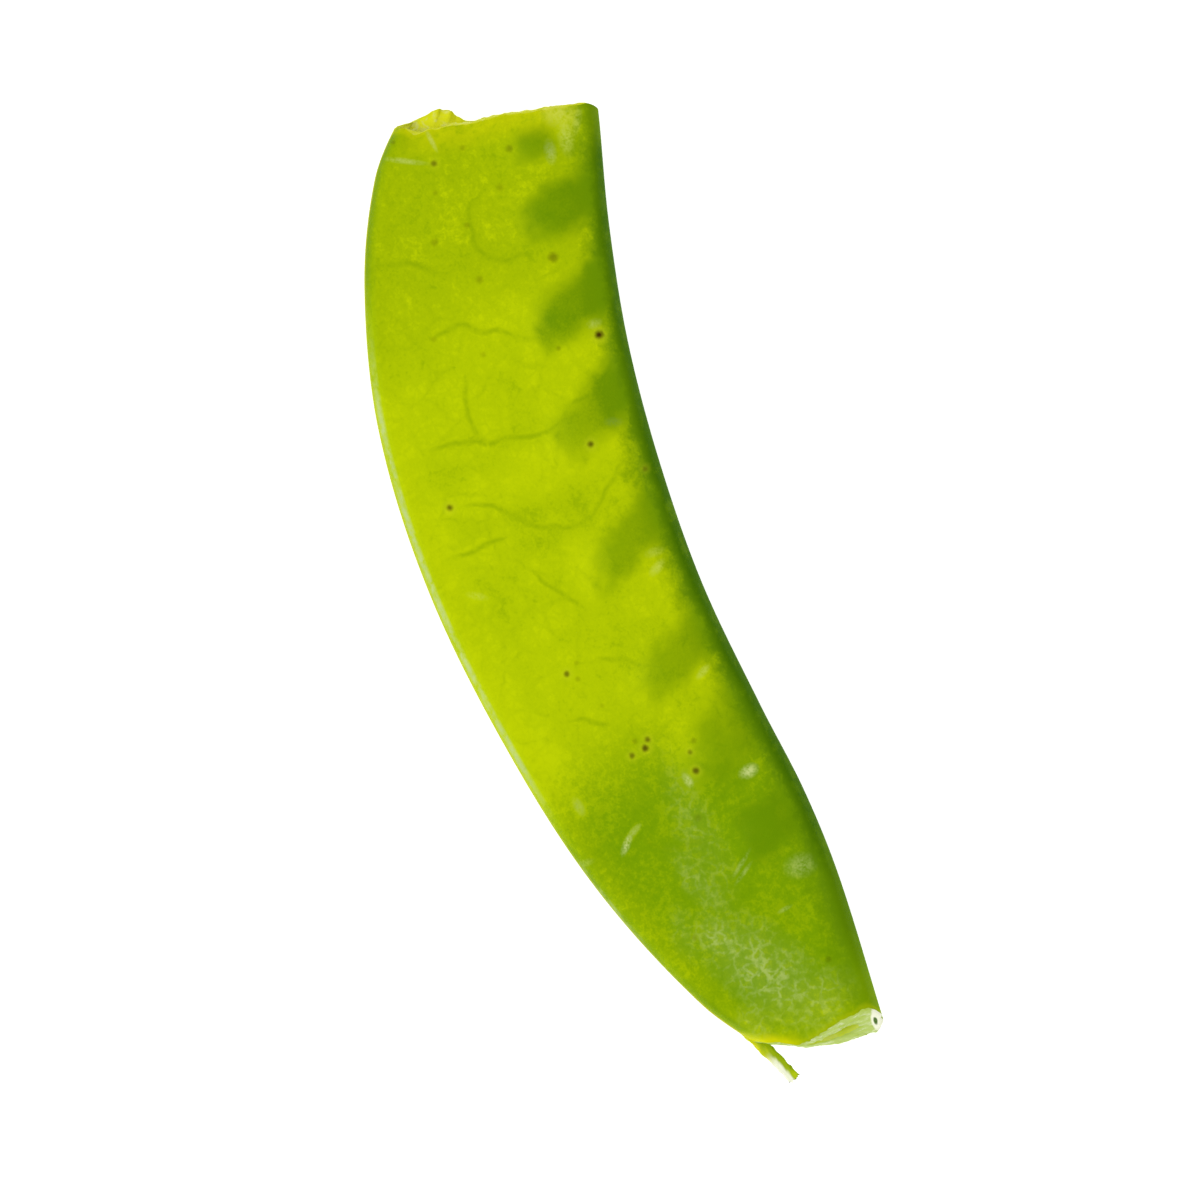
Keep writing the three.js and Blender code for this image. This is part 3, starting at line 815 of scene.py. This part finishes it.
def hollow_lining():
    """The smooth skin inside the pod, silvery green, with fine fibres across it, and a painted glow near the
    tear.
    """
    material, principled, shade = new_material("hollow_lining", Specular_IOR_Level=0.15)
    fibres = shade.vector("MULTIPLY", shade.place(), (2.4, 0.6, 1.0)).noise(1.2, 2.0, 0.4) - 0.5
    colour = shade.colour(LINING_GREEN).blend(LINING_SILVER, fibres.ramp(-0.15, 0.3))
    from_tear = shade.fact("from_tear")
    mottled = shade.place().noise(1.6, 4.0, 0.8) - 0.5
    # Near the tear the thin lining is painted a brighter yellow, a painted glow as of light through it.
    colour = colour.blend(THIN_TORN_GLOW, from_tear.ramp(2.4, 0.8))
    colour = colour.blend(TISSUE_WHITE, mottled.ramp(0.0, 0.22) * from_tear.ramp(1.6, 0.8) * 0.3)
    feed(principled, Base_Color=colour, Roughness=0.42 + fibres * 0.15, Normal=shade.bump(fibres * 0.03))
    return material


finished(pod_form, "pod_walls", [skin_material(), cut_tissue(), hollow_lining()], ["pod"])

# ---- The string of the back seam. When the narrow end was cut, the tough string along the edge held, and a
# short strip of it with some wall on it was left hanging past the cut. Its root runs on in the pod's edge.
STRING_PATH = [(29.5, -1.5), (31.4, -0.55), (32.9, 0.24), (34.3, 0.95), (35.4, 1.42), (36.0, 1.7)]
STRING_WIDE = 0.42  # half its width where it leaves the pod
STRING_THICK = 0.3  # half its thickness there
STRING_FREE = (0.3, 0.5)  # where it leaves the pod, as shares of its length
STRING_CURL = 0.3  # how far its tip curls up
STRING_STEP = 0.05
STRING_ROWS = 90
STRING_AROUND = 28

string_form = bmesh.new()
spine = list(smooth_path(STRING_PATH, STRING_STEP))
lengthwise = string_form.verts.layers.float.new("lengthwise")
crosswise = string_form.verts.layers.float.new("crosswise")
for point in new_sheet(string_form, STRING_ROWS, STRING_AROUND):
    share, turn = point.co.x + 0.5, 2 * math.pi * point.co.y
    spot, ahead = spine[min(round(share * len(spine)), len(spine) - 1)]
    past_cut = 1 - fade(share, *STRING_FREE)
    wide = STRING_WIDE * nose(share, 0.2) * (1 + 0.2 * past_cut * ripple(share * 9, 0, 3))
    thick = STRING_THICK * nose(share, 0.2) * (1 - 0.25 * past_cut)
    wrinkle = 1 + 0.3 * past_cut * ripple(share * 14, math.cos(turn) * 2, math.sin(turn) * 2)
    torn = 0.35 * fade(share, 1.0, 0.93) * ripple(math.cos(turn) * 2.4, math.sin(turn) * 2.4, 7)
    off = Vector((-ahead.y, ahead.x, 0)) * math.cos(turn) * wide * wrinkle
    point.co = spot + off + ahead * torn
    curl = STRING_CURL * past_cut * (share - 0.4)
    point.co.z = middle_up(spot.x, spot.y) + math.sin(turn) * thick * wrinkle + curl
    point[lengthwise], point[crosswise] = share, math.cos(turn)
bmesh.ops.remove_doubles(string_form, verts=string_form.verts[:], dist=SAME_SPOT)
open_ends = [edge for edge in string_form.edges if edge.is_boundary]
bmesh.ops.holes_fill(string_form, edges=open_ends, sides=0)
bmesh.ops.recalc_face_normals(string_form, faces=string_form.faces[:])


def string_fibre():
    material, principled, shade = new_material("string_fibre", Specular_IOR_Level=0.1)
    place = shade.place()
    share, across = shade.fact("lengthwise"), shade.fact("crosswise")
    fibres = shade.vector("MULTIPLY", place, (0.6, 3.5, 3.5)).noise(1.0, 3.0) - 0.5
    yellow = (fibres * 1.2 - across * 0.5).ramp(-0.2, 0.5) * share.ramp(0.25, 0.45)
    colour = shade.colour(SOFT_GREEN).blend(TORN_YELLOW, yellow)
    pale = share.ramp(0.62, 0.8) * (0.1 - across + fibres).ramp(-0.2, 0.4)
    colour = colour.blend(TISSUE_WHITE, pale.most(share.ramp(0.7, 0.5) * fibres.ramp(0.15, 0.3) * 0.5))
    colour = colour.blend(MID_GREEN, share.ramp(0.9, 0.96) * across.ramp(-0.3, 0.3))
    feed(principled, Base_Color=colour, Roughness=0.45 + fibres * 0.2, Normal=shade.bump(fibres * 0.08))
    return material


finished(string_form, "back_seam_string", [string_fibre()], [])

# ---- The peas. Eight unripe, flattened seeds in the hollow, each grown on a short stalk that hangs from the
# pea seam. Their skin is smooth and sealed, glossy and a little wet.
PEA_HALF = 1.0  # half the thickness of a full pea
PEA_LUMPS = 0.05
STALK_ROUND = 0.28
STALK_FLARE = 0.5  # how much wider a stalk gets where it meets the seam
FLARE_REACH = 0.5
STALK_ROOT = 1.5  # the stalks run into the wall, this far from the seam's edge
PEA_ROWS = 44
PEA_AROUND = 32
PEA_SAME_SPOT = 1e-4
PEA_SKIN = screen(134, 170, 22)
PEA_PALE = screen(170, 196, 66)


def pea_form(pea_x, pea_y, size, from_seam):
    """A flattened, turned form: the pea, then its narrow stalk, which flares where it meets the seam."""
    form = bmesh.new()
    long = PEA_LONG * size
    tip = (from_seam - STALK_ROOT) / math.cos(PEA_LEAN)
    on_stalk = form.verts.layers.float.new("on_stalk")
    for point in new_sheet(form, PEA_ROWS, PEA_AROUND):
        share, turn = point.co.x + 0.5, 2 * math.pi * point.co.y
        lengthwise = -long + (tip + long) * (0.5 - 0.5 * math.cos(math.pi * share))
        round_off = math.sqrt(max(0, 1 - (lengthwise / long) ** 2))
        stalk = STALK_ROUND * (1 + STALK_FLARE * bell(tip - lengthwise, FLARE_REACH))
        stalk *= nose(lengthwise + long, 1.0)
        stalk *= nose(tip - lengthwise, 0.25)
        lumpy = 1 + PEA_LUMPS * ripple(math.cos(turn) + pea_x, math.sin(turn), lengthwise)
        crosswise = either(PEA_WIDE * size * round_off * lumpy, stalk) * math.cos(turn)
        up = either(PEA_HALF * size * round_off * lumpy, stalk) * math.sin(turn)
        point.co.x = pea_x - lengthwise * math.sin(PEA_LEAN) + crosswise * math.cos(PEA_LEAN)
        point.co.y = pea_y + lengthwise * math.cos(PEA_LEAN) + crosswise * math.sin(PEA_LEAN)
        point.co.z = up + middle_up(point.co.x, point.co.y)
        point[on_stalk] = lengthwise - long
    bmesh.ops.remove_doubles(form, verts=form.verts[:], dist=PEA_SAME_SPOT)
    bmesh.ops.recalc_face_normals(form, faces=form.faces[:])
    return form


def pea_material():
    material, principled, shade = new_material("unripe_pea", Specular_IOR_Level=0.45)
    place = shade.place()
    cloudy, grainy = place.noise(0.7) - 0.5, place.noise(3.5, 3.0) - 0.5
    colour = shade.colour(PEA_SKIN).blend(PEA_PALE, (cloudy + grainy * 0.6).ramp(-0.25, 0.4) * 0.7)
    colour = colour.blend(LINING_SILVER, shade.fact("on_stalk").ramp(-0.4, 0.1))
    feed(principled, Base_Color=colour, Roughness=0.33 + grainy * 0.15, Normal=shade.bump(grainy * 0.015))
    return material


unripe = pea_material()
for i, hung in enumerate(HANGING):
    finished(pea_form(*hung), f"young_pea_{i + 1}", [unripe], [f"pea_{i + 1}"])

# ---- Table, light and camera. A pale table under even light from all round, a long soft lamp on the side of
# the back seam, and a camera straight above the pod. Sizes here are in metres.
TABLE_RADIUS = 1.2
TABLE_GLOW = 0.65  # keeps the table near white without a brighter sky
SKY = 0.85
LAMP_AT = (0, -0.45, 0.5)
LAMP_TILT = math.radians(42)  # so that it shines on the pod
LAMP_LONG, LAMP_WIDE = 0.5, 0.07
LAMP_WATTS = 1.0

floor_form = bmesh.new()
bmesh.ops.create_circle(floor_form, cap_ends=True, segments=64, radius=TABLE_RADIUS)
floor_mesh = bpy.data.meshes.new("table")
floor_form.to_mesh(floor_mesh)
floor_form.free()
floor = bpy.data.objects.new("table", floor_mesh)
bpy.context.scene.collection.objects.link(floor)
white, _, _ = new_material(
    "white_table",
    Base_Color=(0.85, 0.85, 0.85, 1),
    Roughness=0.8,
    Specular_IOR_Level=0.1,
    Emission_Color=(1, 1, 1, 1),
    Emission_Strength=TABLE_GLOW,
)
floor_mesh.materials.append(white)

world = bpy.data.worlds.new("studio")
bpy.context.scene.world = world
world.use_nodes = True
world.node_tree.nodes["Background"].inputs["Color"].default_value = (1, 1, 1, 1)
world.node_tree.nodes["Background"].inputs["Strength"].default_value = SKY

softbox = bpy.data.lights.new("softbox", "AREA")
softbox.shape = "RECTANGLE"
softbox.size, softbox.size_y = LAMP_LONG, LAMP_WIDE
softbox.energy = LAMP_WATTS
lamp = bpy.data.objects.new("softbox", softbox)
lamp.location = LAMP_AT
lamp.rotation_euler = (LAMP_TILT, 0, 0)
bpy.context.scene.collection.objects.link(lamp)

ROLL = math.radians(19.4)  # the pod's turn in the frame
CAMERA_UP = 0.9
VIEW_ACROSS = 0.084  # how much of the table the frame spans
SENSOR = 36
camera = bpy.data.cameras.new("camera")
camera.sensor_width = SENSOR
camera.lens = SENSOR * CAMERA_UP / VIEW_ACROSS
seat = bpy.data.objects.new("camera", camera)
seat.location = (0, 0, CAMERA_UP)
seat.rotation_euler = (0, 0, math.pi / 2 - ROLL)
bpy.context.scene.collection.objects.link(seat)
bpy.context.scene.camera = seat
bpy.context.scene.view_settings.view_transform = "Standard"
